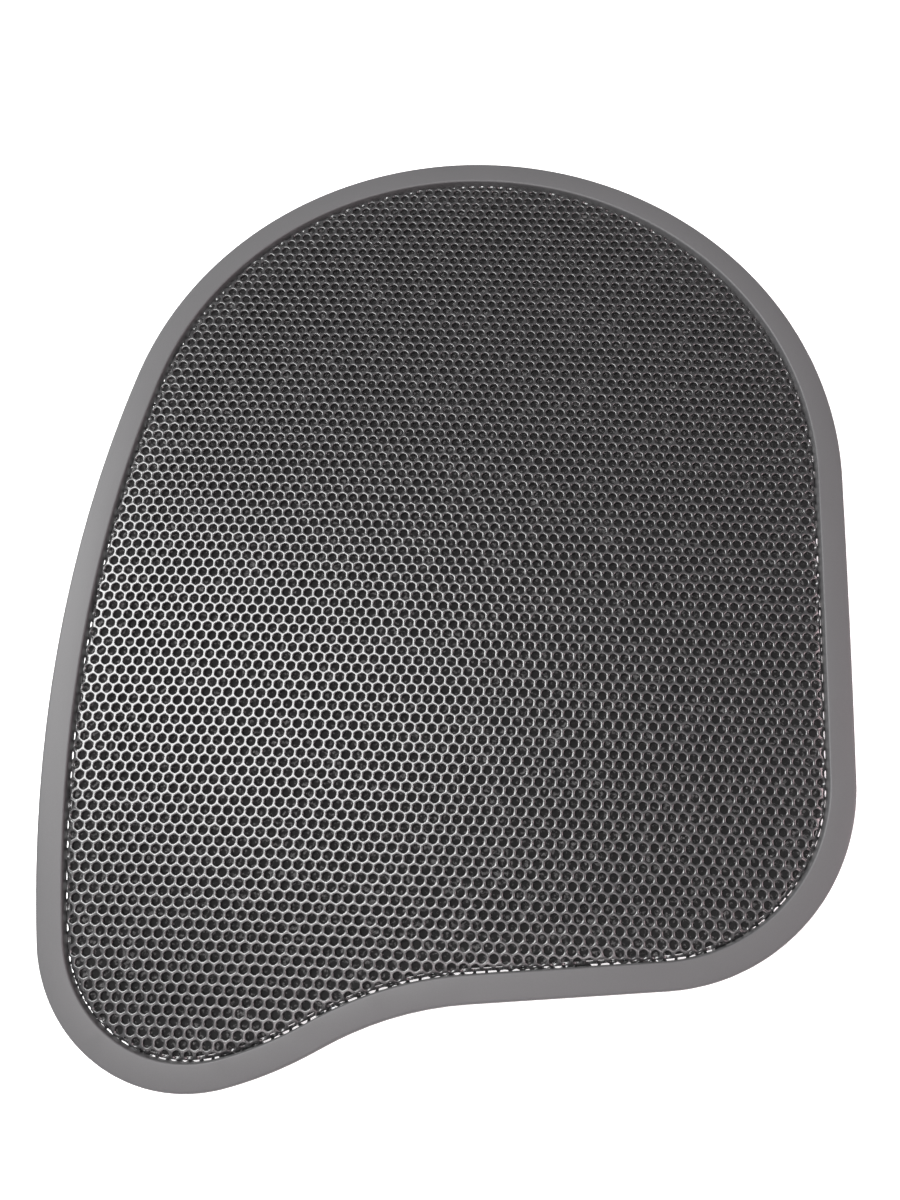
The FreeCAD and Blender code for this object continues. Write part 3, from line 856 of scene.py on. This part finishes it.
FIBRE_SIZES = (0.4, 1.5)         # smallest and largest share of the given length


def fibre_tree():
    """Short curved fibres that lie on a surface, at seeded random places and turns."""
    f = Fields("Loose fibres", Density=float, Length=float, Thickness=float, Lift=float, Seed=int,
               Material="material")
    given = f.given
    scatter = f.node("GeometryNodeDistributePointsOnFaces", Mesh=given["Geometry"], Density=given["Density"],
                     Seed=given["Seed"])
    reach = f.maths("MULTIPLY", given["Length"], 0.5)
    start = f.node("ShaderNodeCombineXYZ", X=f.maths("MULTIPLY", reach, -1.0))
    middle = f.node("ShaderNodeCombineXYZ", Y=f.maths("MULTIPLY", reach, 0.7), Z=given["Lift"])
    end = f.node("ShaderNodeCombineXYZ", X=reach)
    arc = f.node("GeometryNodeCurveQuadraticBezier", Resolution=4, Start=start.outputs[0],
                 Middle=middle.outputs[0], End=end.outputs[0])
    section = f.node("GeometryNodeCurvePrimitiveCircle", Resolution=3, Radius=given["Thickness"])
    fibre = f.node("GeometryNodeCurveToMesh", Curve=arc.outputs[0], Profile_Curve=section.outputs[0],
                   Fill_Caps=True)
    spin = f.node("FunctionNodeRandomValue", Seed=given["Seed"])
    spin.data_type = "FLOAT"
    f.set(spin.inputs[3], 2 * math.pi)
    turn = f.node("ShaderNodeCombineXYZ", Z=spin.outputs[1])
    laid = f.node("FunctionNodeRotateRotation", Rotation=scatter.outputs["Rotation"], Rotate_By=turn.outputs[0])
    laid.rotation_space = "LOCAL"
    grow = f.node("FunctionNodeRandomValue", Seed=f.maths("ADD", given["Seed"], 7.0))
    grow.data_type = "FLOAT"
    for socket, value in zip(grow.inputs[2:4], FIBRE_SIZES):
        f.set(socket, value)
    instance = f.node("GeometryNodeInstanceOnPoints", Points=scatter.outputs["Points"],
                      Instance=fibre.outputs[0], Rotation=laid.outputs[0], Scale=grow.outputs[1])
    return f.finish(instance.outputs[0])


def fibres(name, surfaces, **values):
    """A plain mesh of loose fibres on the given meshes."""
    work = bmesh.new()
    for surface in surfaces:
        work.from_mesh(surface)
    piece = new_object(name, mesh_from(work, name))
    add_tree(piece, FIBRES, **values)
    plain_mesh(piece)
    return piece


FELT_CELL, FELT_LUMP, FELT_SHRINK = 0.24 * MM, 0.022 * MM, 0.03 * MM


def felt_strip(node, seed):
    """The felt strip with a lumpy surface and soft edges."""
    piece = new_object(node + "_wool", welded_copy(node, node + "_wool"))
    cells = piece.modifiers.new("cells", "REMESH")
    cells.mode = "VOXEL"
    cells.voxel_size = FELT_CELL
    soft = piece.modifiers.new("soft edges", "SMOOTH")
    soft.factor, soft.iterations = 0.5, 3
    mesh = plain_mesh(piece)
    random = np.random.default_rng(seed)
    normals = np.empty(len(mesh.vertices) * 3)
    mesh.vertices.foreach_get("normal", normals)
    points = coordinates(mesh)
    lumps = random.normal(0, FELT_LUMP, len(points))
    set_coordinates(mesh, points + normals.reshape(-1, 3) * (lumps - FELT_SHRINK)[:, None])
    smooth_by_angle(mesh, 80)
    mesh.materials.append(FELT)
    return piece


PLACING = placing_tree()
FIBRES = fibre_tree()

bezel = new_object("bezel_moulding", welded_copy("bezel", "bezel_moulding"), BEZEL)
finish_piece(bezel, "bezel_plastic", "bezel")

for panel in perforated_mesh():
    finish_piece(panel, "mesh_coating", "grille_mesh")

cloth = new_object("scrim", welded_copy("acoustic_cloth", "scrim", 50), CLOTH)
finish_piece(cloth, "cloth", "acoustic_cloth")
low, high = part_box("acoustic_cloth")
lint = fibres("scrim_lint", [cloth.data], Density=260000.0, Length=0.9 * MM, Thickness=0.012 * MM,
              Lift=0.1 * MM, Seed=3, Material=LINT_FIBRE)
finish_piece(lint, "cloth")

washers = [f"push_retainer_{number:02d}" for number in range(1, len(RETAINERS) + 1)]
washer = softened_copy(washers[0], "washer", 0.05 * MM)
low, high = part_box(washers[0])
middle = (low + high) / 2
set_coordinates(washer.data, coordinates(washer.data) - np.array([middle.x, middle.y, high.z]))
seats = [(*(edge - outward * STUD_INSET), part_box(node)[1].z)
         for (edge, outward), node in zip(RETAINERS, washers)]
finish_piece(placed("star_washers", washer, seats, [0.0] * len(seats), ZINC), "retainer_steel", *washers)

seats = [(*(edge - outward * BAND_MIDDLE), 0.0) for edge, outward in TOWERS]
turns = [math.atan2(outward[1], outward[0]) for _, outward in TOWERS]
clips = [f"spring_clip_{number}" for number in range(1, TOWER_COUNT + 1)]
finish_piece(placed("spring_clips", spring_clip(), seats, turns, PHOSPHATE), "clip_steel", *clips)

strips = []
for number in range(1, len(LANDS) + 1):
    strip = felt_strip(f"felt_strip_{number}", number)
    finish_piece(strip, "felt", f"felt_strip_{number}")
    strips.append(strip.data)
fuzz = fibres("felt_fuzz", strips, Density=1500000.0, Length=0.8 * MM, Thickness=0.01 * MM, Lift=0.12 * MM,
              Seed=11, Material=FELT)
finish_piece(fuzz, "felt")

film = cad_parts["cloth_bond"].data
film.materials.clear()
film.materials.append(BOND)


# ---- floor, lights, camera -----------------------------------------------------------------------------
TABLE_GLOW, TABLE_GAP = 0.55, 0.2 * MM
SKY_FRONT, SKY_BACK = 0.35, 0.08
SKY_TURN = 0.4                   # where the sky stops changing, as the Y of the direction


def light_table():
    """Pale glowing floor, a little below the clips' feet."""
    corners = [(-3, -3, 0), (3, -3, 0), (3, 3, 0), (-3, 3, 0)]
    floor = new_object("light_table", mesh_of("light_table", corners, [(0, 1, 2, 3)]))
    material, shader = principled("light table", (0.86, 0.86, 0.86), 0.6)
    shader.inputs["Emission Color"].default_value = (1, 1, 1, 1)
    shader.inputs["Emission Strength"].default_value = TABLE_GLOW
    floor.data.materials.append(material)
    floor.location.z = -TABLE_GAP


def soft_light(name, place, width, height, power, colour=(1, 1, 1)):
    """Rectangular light that faces the middle of the object's base."""
    data = bpy.data.lights.new(name, "AREA")
    data.shape = "RECTANGLE"
    data.size, data.size_y = width, height
    data.energy = power
    data.color = colour
    lamp = bpy.data.objects.new(name, data)
    lamp.location = place
    lamp.rotation_euler = (Vector() - Vector(place)).to_track_quat("-Z", "Y").to_euler()
    scene.collection.objects.link(lamp)


def camera():
    """Close camera that looks down on the face from the lower side."""
    data = bpy.data.cameras.new("camera")
    data.sensor_width = 36
    data.lens = 30.14
    data.clip_start = 0.01
    item = bpy.data.objects.new("camera", data)
    right = Vector((0.99896, 0.04014, -0.02178))
    up = Vector((-0.03253, 0.96015, 0.27757))
    back = right.cross(up)
    turn = Matrix((right, up, back)).transposed()
    place = Vector((0.006285, -0.07209, 0.22088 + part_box("grille_mesh")[1].z))
    item.matrix_world = Matrix.Translation(place) @ turn.to_4x4()
    scene.collection.objects.link(item)
    scene.camera = item


def studio_sky():
    """Dim room light that comes from the front and the sides, and hardly from behind the top edge."""
    world = bpy.data.worlds.new("studio")
    world.use_nodes = True
    nodes, links = world.node_tree.nodes, world.node_tree.links
    ray, split = nodes.new("ShaderNodeNewGeometry"), nodes.new("ShaderNodeSeparateXYZ")
    shade = nodes.new("ShaderNodeMapRange")
    shade.interpolation_type = "SMOOTHSTEP"
    shade.inputs["From Min"].default_value, shade.inputs["From Max"].default_value = -SKY_TURN, SKY_TURN
    shade.inputs["To Min"].default_value, shade.inputs["To Max"].default_value = SKY_BACK, SKY_FRONT
    links.new(ray.outputs["Incoming"], split.inputs[0])
    links.new(split.outputs["Y"], shade.inputs["Value"])
    links.new(shade.outputs[0], nodes["Background"].inputs["Strength"])
    nodes["Background"].inputs["Color"].default_value = (1, 1, 1, 1)
    scene.world = world


light_table()
soft_light("left window", (-0.38, 0.11, 0.62), 0.36, 0.9, 11.8)
soft_light("right screen", (0.62, -0.05, 0.36), 0.3, 0.45, 2.6, (1.0, 0.76, 0.8))
soft_light("front screen", (0.0, -0.4, 0.7), 0.5, 0.3, 1.8, (1.0, 0.9, 0.92))
soft_light("low screen", (0.0, -0.85, 0.35), 0.9, 0.4, 1.2, (1.0, 0.9, 0.92))
camera()
studio_sky()
scene.view_settings.view_transform = "Standard"
